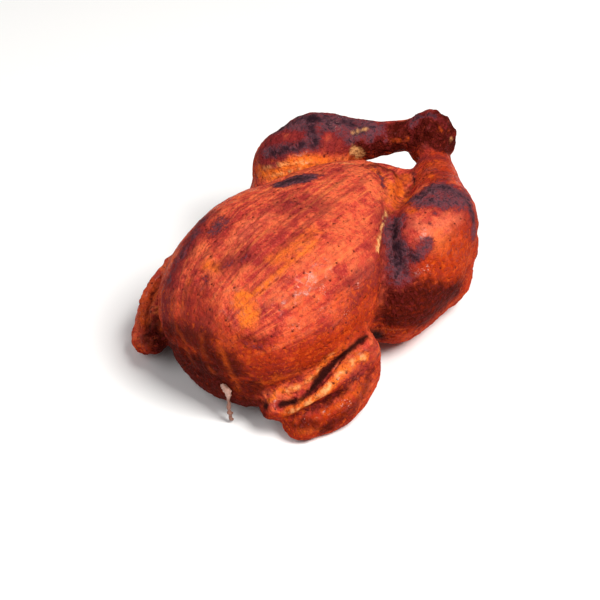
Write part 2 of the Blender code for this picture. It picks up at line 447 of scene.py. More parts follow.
@dataclass
class RoastSkin:
    """The whole bird as one skin: trunk, legs and wings, with its folds, tears and masks.

    Lengths are in millimetres.
    """

    name: str = "roasted_bird"
    voxel: float = 1.28
    first_smoothing: int = 6
    second_smoothing: int = 2
    seed: int = 11
    wing_folds: tuple[Press, ...] = (
        Press(Stroke(WING_CREVICE, 0.5, 3.4), -6.5),
        Press(Stroke(WING_BAND_ABOVE, 1.6, 5.0), 1.3, 0.9),
        Press(Stroke(WING_BAND_BELOW, 1.8, 4.6), 1.7, 1.0),
        Press(Stroke(WING_GROOVE, 0.8, 4.0), -2.6, 0.8),
    )
    folds: tuple[Press, ...] = (
        Press(Stroke(BREAST_EDGE, 0.8, 3.4), 0.6, 0.9),
        Press(Stroke(NEAR_CREASE, 1.4, 8.0), -1.8, 0.6),
        Press(Stroke(FAR_CREASE, 0.8, 5.0), -2.0, 0.4),
        Press(Stroke(FAR_CUFF, 1.4, 3.6), -1.5, 0.8),
        Press(Stroke(WING_ROOT, 4.0, 9.0), -4.0),
    )
    fold_lump: float = 5.0
    rest_height: float = 5.0

    # Lumps of the flesh, wrinkles of the skin, and strands that run lengthwise and stand out more low down
    swell: Relief = Relief(0.60, 26.0)
    wrinkle: Relief = Relief(0.36, 7.0)
    crinkle: Relief = Relief(0.18, 3.2)
    strand_size: float = 3.6
    strand_stretch: Place = (0.30, 1.0, 1.0)
    strand_height: float = 0.20
    low_strand_height: float = 0.45
    low_top: float = 82.0
    low_fade: float = 50.0

    # Crags at the leg ends and in the torn belly, and blisters in the char
    knob_ends: Stroke = Stroke(((104, -6, 92), (120, 0, 78)), 17.0, 6.0)
    belly: Stroke = Stroke(((40, -2, 95), (58, -8, 84), (34, -26, 90)), 8.0, 6.0)
    knob_crag: float = 2.8
    belly_crag: float = 1.8
    crag_size: float = 8.5
    blister_height: float = 0.42
    blister_size: float = 4.2
    lowest: float = -2.8
    highest: float = 1.8

    # How widely hollows and pits are looked for, to lay painted shade in them, and how deep a full one is
    hollow_rounds: int = 14
    hollow_depth: float = 1.2
    pit_rounds: int = 3
    pit_depth: float = 0.25

    # Where skin stops facing up and gets painted shade
    facing_rounds: int = 30
    facing_wander: Relief = Relief(0.16, 22.0)
    facing_start: float = 0.75
    facing_fade: float = 0.9

    # The middle of the trunk and its radius, which turns an angle into a length
    trunk_height: float = 45.0
    trunk_radius: float = 60.0

    def build(self) -> bpy.types.Object:
        """Makes the skin from the solid.

        Returns:
            The finished piece, riding on the body.
        """
        self.noise = Noise(self.seed)
        self.other = Noise(self.seed + 1)
        obj = self._copy_of_solid()
        divide(obj, self.voxel * MM)
        hide = Hide(obj)
        hide.smooth(self.first_smoothing)
        far_wing = [fold.over() for fold in self.wing_folds]
        self._press(hide, [*self.wing_folds, *self.folds, *far_wing])
        divide(obj, self.voxel * MM)
        hide = Hide(obj)
        hide.smooth(self.second_smoothing)
        self._press(hide, self._shallow_features())
        self._roughen(hide)
        self._paint(hide)
        obj.data.shade_smooth()
        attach(obj, BODY)
        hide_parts(BIRD)
        log.info("%s: %d faces", self.name, len(obj.data.polygons))
        return obj

    def _copy_of_solid(self) -> bpy.types.Object:
        """Copies the bird's solid and welds it.

        Returns:
            An object of its own.
        """
        bm = bmesh.new()
        bm.from_mesh(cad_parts[BIRD].data)
        bmesh.ops.remove_doubles(bm, verts=bm.verts, dist=1e-6)
        return placed(self.name, bm)

    def _shallow_features(self) -> list[Press]:
        """Shapes the furrows, neck folds and cracks.

        Returns:
            What is pressed into the divided skin.
        """
        furrows = [Press(Stroke(route, 0.4, 3.2), -0.7, 0.4) for route in BREAST_FURROWS]
        folds = [Press(Stroke(route, 0.5, 5.0), 1.3, 0.6) for route in NECK_FOLDS]
        cracks = [Press(Stroke(route, 0.3, 2.6), -1.3, 0.4) for route in KNOB_CRACKS]
        return [*furrows, *folds, *cracks]

    def _press(self, hide: Hide, features: Sequence[Press]) -> None:
        """Moves the skin along each groove and ridge.

        Args:
            hide: The skin.
            features: What is pressed in or raised.
        """
        lift = np.zeros(len(hide.points))
        lumps = self.noise.at(hide.points, self.fold_lump, 2)
        for press in features:
            share = press.stroke.weight(hide.points, self.noise)
            lift += share * press.lift * (1 + press.lumps * lumps)
        hide.push(lift * self._clear_of_floor(hide))

    def _clear_of_floor(self, hide: Hide) -> np.ndarray:
        """1 on the bird, falling to 0 at the flat spots that it rests on."""
        return eased(hide.points[:, 2] / (self.rest_height * MM))

    def _roughen(self, hide: Hide) -> None:
        """Adds the uneven swell of the flesh, the skin's wrinkles, and the crags of the torn parts.

        Args:
            hide: The skin.
        """
        points = hide.points
        calm = self._clear_of_floor(hide)
        knobs = self.knob_ends.weight(points, self.noise)
        belly = self.belly.weight(points, self.noise)
        swell = self.swell.at(points, self.noise)
        wrinkle = self.wrinkle.at(points, self.other)
        crinkle = self.crinkle.at(points, self.noise)
        low = eased((self.low_top * MM - points[:, 2]) / (self.low_fade * MM))
        strands = self.strand_height + self.low_strand_height * low
        strands = strands * self.other.at(points * self.strand_stretch, self.strand_size, 2)
        crags = self.knob_crag * knobs + self.belly_crag * belly
        crags = crags * self.other.at(points, self.crag_size, 3)
        blisters = self.blister_height * self._cover(Layer.CHAR, points)
        blisters = blisters * self.noise.at(points, self.blister_size, 2)
        lift = swell + wrinkle + crinkle + strands + crags + blisters
        hide.push(np.clip(lift, self.lowest, self.highest) * calm)

    def _cover(self, layer: Layer, points: np.ndarray) -> np.ndarray:
        """How fully a layer's strokes cover each point.

        Args:
            layer: The layer.
            points: Points in metres.

        Returns:
            From 0 to 1, one value a point.
        """
        bare = np.ones(len(points))
        for row in STROKES[layer]:
            bare *= 1 - Stroke(*row).weight(points, self.other)
        return 1 - bare

    def _paint(self, hide: Hide) -> None:
        """Keeps every mask on the mesh.

        Args:
            hide: The skin.
        """
        for layer in Layer:
            hide.store(layer.value, self._cover(layer, hide.points))
        # Hollows and pits, measured for the painted shade laid in them
        hollow = hide.hollowness(self.hollow_rounds) / self.hollow_depth
        pit = hide.hollowness(self.pit_rounds) / self.pit_depth
        hide.store("hollow", np.clip(hollow, -1.0, 1.0))
        hide.store("pit", np.clip(pit, -1.0, 1.0))
        # Painted shade, for skin that faces sideways or down
        hide.store("under", self._underside_shade(hide))
        hide.store("lie", self._lie(hide.points))

    def _underside_shade(self, hide: Hide) -> np.ndarray:
        """Where the skin faces sideways or down and gets painted shade.

        Args:
            hide: The skin.

        Returns:
            0 where a point faces up, rising to 1.
        """
        facing = hide.spread(hide.normals[:, 2], self.facing_rounds)
        wander = self.facing_wander.at(hide.points, self.noise)
        return eased((self.facing_start - facing + wander) / self.facing_fade)

    def _lie(self, points: np.ndarray) -> np.ndarray:
        """Where each point is along and round the trunk, for streaks that run along the breast.

        Args:
            points: Points in metres.

        Returns:
            Rows of length, way round and girth, in metres.
        """
        x, y, z = points.T
        rise = z - self.trunk_height * MM
        angle = np.arctan2(rise, y - MIDLINE * MM)
        return np.stack([x, angle * (self.trunk_radius * MM), np.hypot(rise, y)], axis=1)


def spots(places: Iterable[Place], *rest: float) -> list[Row]:
    """The row of one round stroke at each place."""
    return [((place,), *rest) for place in places]


# What Stroke takes, in its order: route, reach, soft, ragged, strength, lump
STROKES: dict[Layer, list[Row]] = {
    Layer.CHAR: [
        # Far thigh
        (((37, 68, 102), (52, 51, 108), (69, 34, 101), (77, 24, 98)), 10, 12, 4, 1, 9),
        (((42, 54, 108), (37, 46, 106), (33, 41, 102)), 6, 10, 2.5, 1, 9),
        (((11, 64, 96), (19, 48, 101), (26, 43, 101)), 4.5, 10, 2.5, 1, 9),
        (((50, 40, 105), (54, 34, 102), (59, 29, 97)), 5, 13, 3, 0.8, 9),
        # Breast
        (((-19, 25, 102.5), (-12, 20, 104), (-8, 16, 104.5)), 7.5, 6, 1.2, 1.1),
        (((-6, 15, 104), (1, 9, 105)), 3, 8, 1.2, 0.6),
        (((-76, 28, 101), (-84, 28, 100)), 5, 12, 2.5, 0.8),
        (((-104, 0, 97), (-96, -4, 100)), 3, 9, 3.5, 0.55, 7),
        (((-38, 3, 106), (-31, -9, 106)), 1, 8, 4, 0.45, 7),
        (((-77, 44, 96), (-92, 39, 93), (-104, 38, 87), (-118, 35, 78)), 4, 9, 4, 0.7, 9),
        (((-115, 10, 90), (-117, 6, 89)), 3, 9, 2, 0.5),
        (((-128, -32, 68), (-123, -40, 66)), 1.5, 7, 2, 0.6),
        (((-22, -57, 80), (-31, -60, 75), (-42, -62, 67)), 3.5, 12, 4, 0.35, 9),
        # Near thigh
        (((31, -46, 94), (41, -48, 95), (50, -54, 95), (54, -64, 91)), 8, 17, 4.5, 1.1, 9),
        (((30, -55, 95), (36, -63, 94), (46, -69, 91)), 5.5, 11, 2.5, 0.9, 9),
        (((54, -68, 88), (50, -77, 81), (46, -81, 73)), 4.5, 9, 2, 0.9, 9),
        (((6, -46, 88), (-3, -51, 85), (-10, -58, 78), (-18, -66, 69)), 6, 13, 2.5, 1.1, 9),
        (((-8, -62, 80), (-5, -69, 78), (4, -73, 83)), 4, 10, 2.5, 0.95, 9),
        *spots(((24, -64, 93), (15, -67, 91)), 1.5, 5, 1.5, 0.7),
        (((41, -5, 94), (34, -15, 93.5), (27, -21, 94)), 1.2, 4, 3, 0.75, 4),
        # Knob
        (((97, 4, 99), (103, 2, 103), (107, -4, 105)), 4.5, 8, 2, 0.9),
        (((84, -22, 88), (68, -36, 90.5)), -0.5, 5, 4, 0.6, 5),
        (((108, -10, 104), (110, -15, 99)), 3, 6, 2, 0.4),
    ],
    Layer.FAT: [
        (WING_BAND_ABOVE, -0.2, 3.2, 3, 0.55, 4),
        (WING_BAND_BELOW, 0.4, 3, 3.2, 0.65, 4),
        (((-106, -69.5, 32), (-98, -73, 35.5)), 1.4, 2.6, 2.2, 0.75, 4),
        (((-93, -84, 8), (-90, -85, 12)), 0.5, 2, 2, 0.8, 3),
        (((9, -37, 91), (-3, -43, 90), (-12, -48, 88)), 1.2, 2.4, 1.2, 0.85, 3),
        (((-12, -48, 88), (-22, -53, 86)), 1.9, 2.4, 1.8, 1, 3),
        *spots(((37, -10, 95), (44, -15, 91), (30, -28, 93)), 0.6, 2.4, 2, 0.6),
        (((5, 61, 87), (10, 47, 93), (20, 38, 94), (28, 31, 93)), 0.6, 3.5, 1.6, 0.7, 4),
        (((4, 57, 83), (8, 46, 87), (15, 38, 89)), 0.9, 2.5, 1.4, 0.8, 4),
        (((22, 24, 98), (26, 12, 100), (33, 2, 99)), 0.6, 3, 1.6, 0.7, 4),
        (((63, 30, 98.5), (69, 28, 99), (74, 26, 98)), 1.1, 2.4, 1.2, 0.65, 4),
        (((59, 25, 89), (63, 23.5, 83)), 3.4, 3, 1.6, 0.6, 4),
        (((112, -19, 89), (108, -21, 85)), 0.8, 2.6, 1.2, 0.6, 4),
    ],
    Layer.AMBER: [
        (((-115, -19, 88), (-117, -25, 85), (-120, -29, 80)), 5, 8, 3, 1),
        (((-108, 13, 94), (-108, 6, 95)), 3.5, 6, 2, 0.8),
        (((-112, -25, 90), (-92, -28, 97), (-75, -31, 101), (-58, -32, 103.5)), 1.5, 4, 1.5, 0.8),
        (((-86, -20, 100), (-72, -24, 103), (-50, -24, 105)), 3, 8, 3, 0.7),
        (((48, -23, 81), (38, -30, 86), (31, -39, 89)), 4, 5, 2, 1),
        (((40, -6, 94), (34, -24, 92), (12, -38, 91), (-16, -50, 88)), 2.5, 6, 3, 0.7),
        (((5, 62, 86), (8, 48, 90), (22, 36, 93), (30, 28, 92)), 6.5, 7, 2.5, 1),
        (((62, 24, 82), (50, 26, 84), (36, 31, 90)), 3, 6, 2, 0.5),
        (((-104, 62, 40), (-112, 54, 40), (-122, 42, 42)), 0.8, 3, 2, 0.9),
        (((11, -77, 81), (26, -83, 70), (40, -82, 56)), 8, 14, 4, 0.45),
        (WING_BAND_ABOVE, 2.2, 4, 3, 0.9),
        (WING_BAND_BELOW, 3.4, 4, 3, 1),
        (((-122, -71, 14), (-114, -75, 15)), 3, 6, 3, 0.6),
        (((-116, 20, 87), (-123, 16, 82), (-128, 14, 74)), 1.5, 5, 2, 0.6),
    ],
    # Painted shadow in the wing's crevice, and in a low gap behind the wing
    Layer.CREVICE_SHADOW: [
        (WING_CREVICE, 0.7, 1.6, 0.8),
        # The painted shadow widens below the crevice
        (tuple((x + 0.6, y + 2.6, z - 1) for x, y, z in WING_CREVICE), 2, 1.8),
        (tuple((x + 1, y + 5.4, z - 2) for x, y, z in WING_CREVICE), 3.4, 2.2),
        (((-84, -66.5, 43), (-72, -69, 47), (-57, -71, 48)), 1.6, 3, 1),
        (((-30, -60, 24), (-46, -66, 38)), 5, 6),
    ],
    Layer.MAROON: [
        (((-72, 44, 96), (-92, 39, 93), (-108, 36, 87), (-124, 32, 72), (-129, 30, 60)), 8, 11, 3, 0.95),
        (((-44, 4, 106), (-30, 0, 106), (-29, -10, 106)), 9, 12, 4, 0.6),
        (((-104, 0, 97), (-92, -4, 100.5)), 8, 10, 4, 0.75),
        (((-118, 6, 88), (-126, 4, 80)), 5, 8, 3, 0.5),
        (((-134, 14, 62), (-134, 4, 69), (-132, -6, 76)), 7, 12, 6, 0.7, 12),
        (((-128, 12, 78), (-122, 16, 83)), 4, 9, 4, 0.7, 9),
        (((-60, -62, 74), (-44, -60, 80), (-26, -58, 78)), 8, 12, 6, 0.6, 10),
        (((-6, -42, 92), (-30, -52, 90)), 3, 10, 4, 0.5),
        (((-109, 70, 35), (-100, 76, 20), (-70, 78, 20)), 5, 8, 4, 0.25),
        (((81, -14, 85), (84, -22, 88), (90, -29, 87)), 4, 6, 5, 0.8, 7),
        (((66, -30, 89), (70, -37, 90), (62, -48, 93)), 3, 6, 5, 0.7, 7),
        (((14, 62, 98), (30, 60, 104), (50, 50, 106), (74, 28, 98)), 15, 8, 4, 1),
        (((24, 48, 103), (45, 34, 98), (58, 28, 93)), 9, 7, 3, 0.85),
        (((40, -58, 95), (50, -76, 80)), 12, 14, 4, 0.6),
        (((4, -44, 90), (-14, -62, 76), (-22, -68, 64)), 12, 14, 4, 0.85),
        (((28, -15, 98), (28, -21, 94)), 2, 5, 2, 0.7),
        (((102, -8, 98), (116, -6, 90)), 17, 6, 2, 0.9),
        (((-86, -77, 33), (-74, -80, 34)), 4, 6, 5, 0.9, 5),
        (((-112, -62, 19), (-101, -70, 22), (-90, -75, 26)), 1.6, 4, 3, 0.9, 5),
        (((-120, -62, 19), (-113, -70, 18)), 1.6, 5, 4, 0.8, 5),
        (((-96, -83, 11), (-84, -85, 17)), 1, 5, 4, 0.8, 5),
        (((78, 14, 92), (92, 2, 93)), 12, 6, 2, 0.55),
    ],
    # Painted pinkish sheen on the near thigh, the side of the breast and its top
    Layer.ROSY_SHEEN: [
        (((8, -58, 93), (9, -68, 89), (19, -71, 89), (37, -75, 87)), 4.5, 8, 3, 0.9),
        (((-50, -57, 85), (-39, -60, 77)), 5, 10, 3, 0.4),
        (((-86, 9, 102), (-70, 8, 104), (-58, 7, 105)), 5, 14, 6, 0.5, 10),
    ],
    # Dark browning on the knob and by the belly; painted shade low on the front, the wing and the near leg,
    # and round the floor
    Layer.UMBER_AND_SHADE: [
        (((-133, 16, 56), (-134, 4, 58), (-134, -10, 56), (-133, -20, 50)), 9, 12, 7, 0.8, 12),
        (((-130, 28, 52), (-132, 16, 40)), 7, 10, 5, 0.8, 12),
        (((-128, -28, 71), (-121, -40, 70)), 2, 6, 2, 0.6),
        (((-116, -46, 42), (-108, -53, 40), (-98, -58, 48)), 3, 10, 5, 0.35, 10),
        (((-95, 60, 8), (-115, 40, 8), (-125, 15, 9), (-127, -8, 9), (-122, -30, 9)), 18, 12, 5, 0.95),
        (((-106, 56, 26), (-122, 42, 30), (-131, 20, 33), (-133, -2, 32)), 13, 12, 5, 1, 10),
        (((-18, -76, 62), (-2, -83, 52), (16, -86, 44)), 9, 14, 5, 0.7, 10),
        (((68, 22, 90), (86, 10, 92), (100, -2, 96), (112, -10, 94)), 11, 6, 2),
        (((114, -8, 92), (120, -4, 84)), 13, 6, 2),
        (((98, -3, 99), (102, -14, 95), (110, -19, 88)), 11, 5, 2),
        (((-107, -68.5, 23), (-96, -73, 25), (-86, -78, 30)), 2.5, 5, 2, 0.8),
        (((-122, -64, 17), (-116, -73, 15), (-108, -78, 10)), 6, 7, 4, 0.8),
        (((44, -2, 93), (54, -9, 87)), 5, 6, 3, 0.8),
        (((-20, -74, 60), (-28, -70, 48), (-10, -80, 40), (30, -84, 34)), 13, 14, 4, 0.95),
        (((-7, -83, 55), (12, -86, 46)), 9, 12, 4, 0.95),
        (((-132, -10, 32), (-133, 2, 40), (-131, -22, 30), (-126, -34, 32)), 9, 12, 4, 0.9),
        (((-134, -10, 50), (-133, -20, 56), (-130, -30, 48)), 7, 12, 4, 0.65),
        (((-124, -36, 35), (-118, -44, 40), (-112, -51, 44)), 3, 9, 3, 0.3),
        (((-115, -65, 23), (-103, -70, 23), (-93, -73, 26), (-80, -79, 33)), 2, 4, 2, 0.8),
        (((-104, -80, 11), (-84, -86, 20), (-68, -84, 30)), 5, 8, 3, 0.7),
    ],
    # Deep red on the near shank and knob, and painted shade on the lower sides of the leg, breast, wing and
    # front
    Layer.DEEP_AND_SHADE: [
        (((74, -26, 89), (62, -40, 91), (90, -24, 86)), 12, 12, 3, 0.85),
        (((104, -14, 80), (112, -8, 74)), 14, 10, 3, 0.8),
        (((46, -80, 70), (28, -84, 68), (12, -86, 60), (-10, -80, 66)), 17, 12, 4, 1),
        (((-102, -58, 56), (-84, -63, 58), (-60, -66, 54)), 9, 14, 4, 0.9),
        (((-50, -63, 68), (-37, -61, 71), (-57, -65, 61)), 9, 14, 4, 0.8),
        (((-121, -64, 19), (-114, -73, 18), (-98, -79, 19)), 8, 7, 3, 1),
        (((-76, -82, 27), (-90, -80, 24)), 6, 8, 3, 0.6),
        (((-126, 5, 80), (-132, -20, 64), (-124, -40, 60)), 10, 14, 5, 0.6),
    ],
    Layer.MEAT: [
        (((60, -16, 82), (50, -18, 86), (38, -26, 89), (22, -36, 89)), 4.5, 4, 2.5),
    ],
    Layer.COAL: [
        (((48, 54, 108), (40, 47, 106), (32, 40, 102)), 3.6, 7, 4, 0.95, 8),
        (((12, 61, 97), (18, 49, 101), (29, 41, 101)), 3, 6, 3.5, 0.95, 8),
        (((34, 70, 101), (44, 62, 106), (56, 46, 106), (72, 29, 99)), 2, 8, 4.5, 0.8, 8),
        (((-18, 24, 102.5), (-10, 18, 104.2)), 3.2, 4, 2, 0.8, 5),
        (((-76, 28, 101), (-84, 28, 100)), 0.5, 5, 3, 0.6, 5),
        (((-92, 39, 93), (-104, 38, 87)), 0.2, 5, 3, 0.6, 5),
        (((36, -47, 94.5), (48, -52, 95), (53, -64, 91)), 1.6, 7, 4.5, 0.7, 8),
        (((3, -46, 87.5), (-5, -54, 85), (-10, -61, 79), (-14, -67, 72)), 3, 6, 3.5, 0.95, 6),
        (((-7, -65, 79), (-5, -71, 75)), 2.4, 5, 3, 0.9, 6),
        (((53, -70, 87), (48, -78, 80)), 1.6, 5, 3, 0.8, 6),
        (((103, 2, 103), (108, -6, 105)), 2, 5, 3, 0.8, 5),
        (((67, -17, 84), (58, -26, 82.5)), 1.3, 2.6, 1.2, 0.95, 4),
    ],
    # Painted glints: small pale highlights
    Layer.PAINTED_GLINT: [
        (((-5, -66, 76), (-8, -72, 69), (-1, -76, 71)), 1.5, 6, 4, 0.6, 5),
        *spots(((-90, -45, 91), (-80, -52, 88), (-86, -57, 78)), 2, 5, 4, 0.6),
        *spots(((-70, -63, 68), (-52, -60, 79), (-104, -50, 74)), 1.5, 5, 4, 0.45),
        *spots(((-79, -78, 33), (-114, -67, 20), (-92, -80, 21)), 2, 4, 3, 0.6),
        *spots(((56, 40, 105), (40, -52, 96), (70, -28, 90)), 4, 6, 4, 0.2),
    ],
    Layer.EMBER: [
        (((-124, 42, 58), (-120, 46, 46), (-117, 46, 34)), 1, 6, 2, 0.75, 8),
        (((-134, -17, 62), (-133, -21, 52), (-130, -24, 40), (-127, -25, 30)), 1.4, 6, 2, 0.75, 8),
        (((-131, 22, 66), (-134, 11, 52), (-132, 6, 38)), 0.6, 6, 2, 0.5, 8),
        (((-134, -3, 64), (-135, -6, 50), (-133, -10, 36)), 0.6, 6, 2, 0.5, 8),
        (((72, -22, 88), (82, -26, 88)), 0.8, 3, 3.2, 0.9, 4),
        (((66, -33, 90), (58, -38, 91)), 0.8, 3, 3.2, 0.9, 4),
        (((80, 12, 92), (90, 1, 92)), 0.2, 3, 3, 0.7, 4),
        (((104, -12, 98), (112, -14, 94)), 0.2, 3, 3.5, 0.7, 4),
        (((-121, -67, 12), (-117, -71, 11), (-112, -74, 10)), 2, 4, 2.4, 0.7),
        (((-110, -72, 20), (-98, -77, 22), (-80, -82, 25)), 2.2, 4, 3, 0.85),
        (((-122, -41, 38), (-114, -49, 42), (-104, -54, 46)), 2, 5, 3, 0.8),
        (((-96, 73, 43), (-108, 68, 35), (-116, 62, 30)), 5, 8, 4, 0.6),
        (((47, -21, 85), (34, -32, 89), (22, -43, 92), (17, -52, 93)), 2.5, 4, 3.2, 0.85),
        (((68, 26, 97), (69, 22, 93)), 2.5, 4, 2, 0.45),
    ],
}


class Desk:
    """Places shader nodes in one tree and links them."""

    # Where a Mix node has its colours
    MIX_FIRST = 6
    MIX_SECOND = 7
    MIX_RESULT = 2

    def __init__(self, tree: bpy.types.NodeTree) -> None:
        """Works on `tree`."""
        self.tree = tree

    def add(self, kind: str, inputs: dict | None = None, **settings: object) -> bpy.types.Node:
        """Places one node.

        Args:
            kind: The node's type.
            inputs: What goes in each input: a value, or another node's output.
            settings: The node's own properties.

        Returns:
            The node.
        """
        node = self.tree.nodes.new(kind)
        for key, value in settings.items():
            setattr(node, key, value)
        for key, value in (inputs or {}).items():
            self.feed(node.inputs[key], value)
        return node

    def feed(self, socket: Socket, value: object) -> None:
        """Links an output to a socket, or sets the socket's value.

        Args:
            socket: An input.
            value: Another node's output, a colour or a number.
        """
        if isinstance(value, Socket):
            self.tree.links.new(value, socket)
        elif isinstance(value, tuple) and len(value) == 3 and socket.type == "RGBA":
            socket.default_value = (*value, 1.0)
        else:
            socket.default_value = value

    def mask(self, layer: str) -> Socket:
        """A mask kept on the mesh."""
        return self.add("ShaderNodeAttribute", attribute_name=layer).outputs["Fac"]

    def lie(self) -> Socket:
        """The place along and round the trunk kept on the mesh."""
        return self.add("ShaderNodeAttribute", attribute_name="lie").outputs["Vector"]

    def place(self) -> Socket:
        """The point on the piece, in metres."""
        return self.add("ShaderNodeTexCoord").outputs["Object"]

    def sum(self, kind: str, first: object, second: object) -> Socket:
        """One step of arithmetic on two values."""
        return self.add("ShaderNodeMath", {0: first, 1: second}, operation=kind).outputs[0]

    def plus(self, first: object, second: object) -> Socket:
        """Two values added."""
        return self.sum("ADD", first, second)

    def times(self, first: object, second: object) -> Socket:
        """Two values multiplied."""
        return self.sum("MULTIPLY", first, second)

    def scaled(self, vector: object, factors: Place) -> Socket:
        """A vector with each axis stretched."""
        return self.add("ShaderNodeVectorMath", {0: vector, 1: factors}, operation="MULTIPLY").outputs[0]

    def noise(self, vector: object, scale: object, detail: float, bend: float = 0.0) -> Socket:
        """Noise from 0 to 1."""
        inputs = {"Vector": vector, "Scale": scale, "Detail": detail, "Distortion": bend}
        return self.add("ShaderNodeTexNoise", inputs).outputs["Fac"]

    def ramp(self, value: object, low: object, high: object, to: float = 1.0) -> Socket:
        """A soft step from 0 at `low` to `to` at `high`."""
        inputs = {"Value": value, "From Min": low, "From Max": high, "To Max": to}
        return self.add("ShaderNodeMapRange", inputs, interpolation_type="SMOOTHSTEP").outputs[0]

    def slope(self, value: object, low: object, high: object, to: float = 1.0) -> Socket:
        """An even climb from 0 at `low` to `to` at `high`, level outside them."""
        inputs = {"Value": value, "From Min": low, "From Max": high, "To Max": to}
        return self.add("ShaderNodeMapRange", inputs).outputs[0]

    def mix(self, share: object, first: object, second: object) -> Socket:
        """Lays one colour over another.

        Args:
            share: How fully the second one covers.
            first: The colour below.
            second: The colour above.

        Returns:
            The mixed colour.
        """
        inputs = {"Factor": share, self.MIX_FIRST: first, self.MIX_SECOND: second}
        return self.add("ShaderNodeMix", inputs, data_type="RGBA").outputs[self.MIX_RESULT]

    def bump(self, height: object, strength: float, distance: float) -> Socket:
        """A normal tilted by a height."""
        inputs = {"Height": height, "Strength": strength, "Distance": distance}
        return self.add("ShaderNodeBump", inputs).outputs["Normal"]


class Effect:
    """A shader node group that more than one material places, with its own values in each."""

    def __init__(self, name: str, inputs: dict[str, float], outputs: Sequence[str]) -> None:
        """Starts the group.

        Args:
            name: The group's name.
            inputs: Its numbers and their usual values; a Vector input comes with every group.
            outputs: The values that it puts out.
        """
        self.tree = bpy.data.node_groups.new(name, "ShaderNodeTree")
        self.tree.interface.new_socket("Vector", in_out="INPUT", socket_type="NodeSocketVector")
        for key, value in inputs.items():
            made = self.tree.interface.new_socket(key, in_out="INPUT", socket_type="NodeSocketFloat")
            made.default_value = value
        for key in outputs:
            self.tree.interface.new_socket(key, in_out="OUTPUT", socket_type="NodeSocketFloat")
        self.desk = Desk(self.tree)
        self.source = self.tree.nodes.new("NodeGroupInput").outputs
        self.sink = self.tree.nodes.new("NodeGroupOutput").inputs

    def place(self, desk: Desk, inputs: dict[str, object]) -> Sockets:
        """Puts the group in a material.

        Args:
            desk: The material's desk.
            inputs: What each input takes there.

        Returns:
            The group's outputs.
        """
        return desk.add("ShaderNodeGroup", inputs, node_tree=self.tree).outputs


def mottle_effect() -> Effect:
    """Makes soft blotches of browning: Broad is finger-sized, Fine is grain-sized.

    Returns:
        The effect.
    """
    effect = Effect("browning_mottle", {"Broad Scale": 60.0, "Fine Scale": 420.0}, ("Broad", "Fine"))
    desk, source = effect.desk, effect.source
    broad = desk.noise(source["Vector"], source["Broad Scale"], 4.0, 0.6)
    fine = desk.noise(source["Vector"], source["Fine Scale"], 4.0, 0.3)
    desk.feed(effect.sink["Broad"], desk.ramp(broad, 0.30, 0.70))
    desk.feed(effect.sink["Fine"], desk.ramp(fine, 0.30, 0.72))
    return effect


def pore_effect() -> Effect:
    """Makes small dark specks and the pits round them: one cell in a few has one, each of its own size.

    Returns:
        The effect.
    """
    effect = Effect("pore_specks", {"Scale": 240.0, "Size": 0.16}, ("Speck", "Pit"))
    desk, source = effect.desk, effect.source
    warp = desk.add("ShaderNodeTexNoise", {"Vector": source["Vector"], "Scale": 500.0})
    shift = desk.scaled(warp.outputs["Color"], (0.0012, 0.0012, 0.0012))
    bent = desk.add("ShaderNodeVectorMath", {0: source["Vector"], 1: shift}, operation="ADD").outputs[0]
    cells = desk.add("ShaderNodeTexVoronoi", {"Vector": bent, "Scale": source["Scale"]}).outputs
    chance = desk.add("ShaderNodeSeparateColor", {"Color": cells["Color"]}).outputs[0]
    reach = desk.times(desk.ramp(chance, 0.55, 1.0), source["Size"])
    inner = desk.times(reach, 0.4)
    wide = desk.times(reach, 2.2)
    real = desk.sum("GREATER_THAN", chance, 0.6)
    desk.feed(effect.sink["Speck"], desk.times(desk.ramp(cells["Distance"], reach, inner), real))
    desk.feed(effect.sink["Pit"], desk.times(desk.ramp(cells["Distance"], wide, inner), real))
    return effect


def crust_effect() -> Effect:
    """Makes a burnt crust: a cover mask broken up into flakes, and the height of the flakes.

    Returns:
        The effect.
    """
    effect = Effect("burnt_crust", {"Cover": 0.0, "Scale": 160.0}, ("Crust", "Height"))
    desk, source = effect.desk, effect.source
    wide = desk.noise(source["Vector"], source["Scale"], 6.0, 0.6)
    small = desk.noise(source["Vector"], desk.times(source["Scale"], 3.1), 4.0)
    # Both noises lie about 0.5, so their sum is brought to about 0
    inputs = {0: desk.plus(wide, small), 1: 1.3, 2: -1.3}
    torn = desk.add("ShaderNodeMath", inputs, operation="MULTIPLY_ADD").outputs[0]
    level = desk.plus(source["Cover"], torn)
    inside = desk.times(desk.slope(level, 0.0, 1.15), desk.slope(source["Cover"], 0.0, 0.4))
    desk.feed(effect.sink["Crust"], inside)
    desk.feed(effect.sink["Height"], desk.times(inside, wide))
    return effect


def new_material(name: str) -> tuple[bpy.types.Material, Desk, Sockets]:
    """Starts a material.

    Args:
        name: What it is called.

    Returns:
        The material, the desk for its nodes, and its shader's inputs.
    """
    material = bpy.data.materials.new(name)
    material.use_nodes = True
    tree = material.node_tree
    return material, Desk(tree), tree.nodes["Principled BSDF"].inputs


@dataclass(frozen=True)
class Textures:
    """The values in one material that its colours, gloss and bump are worked out from."""

    desk: Desk
    tone: Sockets
    grain: Sockets
    specks: Sockets
    burnt: Sockets
    streaks: Socket
    patchy: Socket

    def patch(self, layer: str, by: Socket, low: float, high: float) -> Socket:
        """A layer's mask, broken up by a texture."""
        return self.desk.times(self.desk.mask(layer), self.desk.ramp(by, low, high))


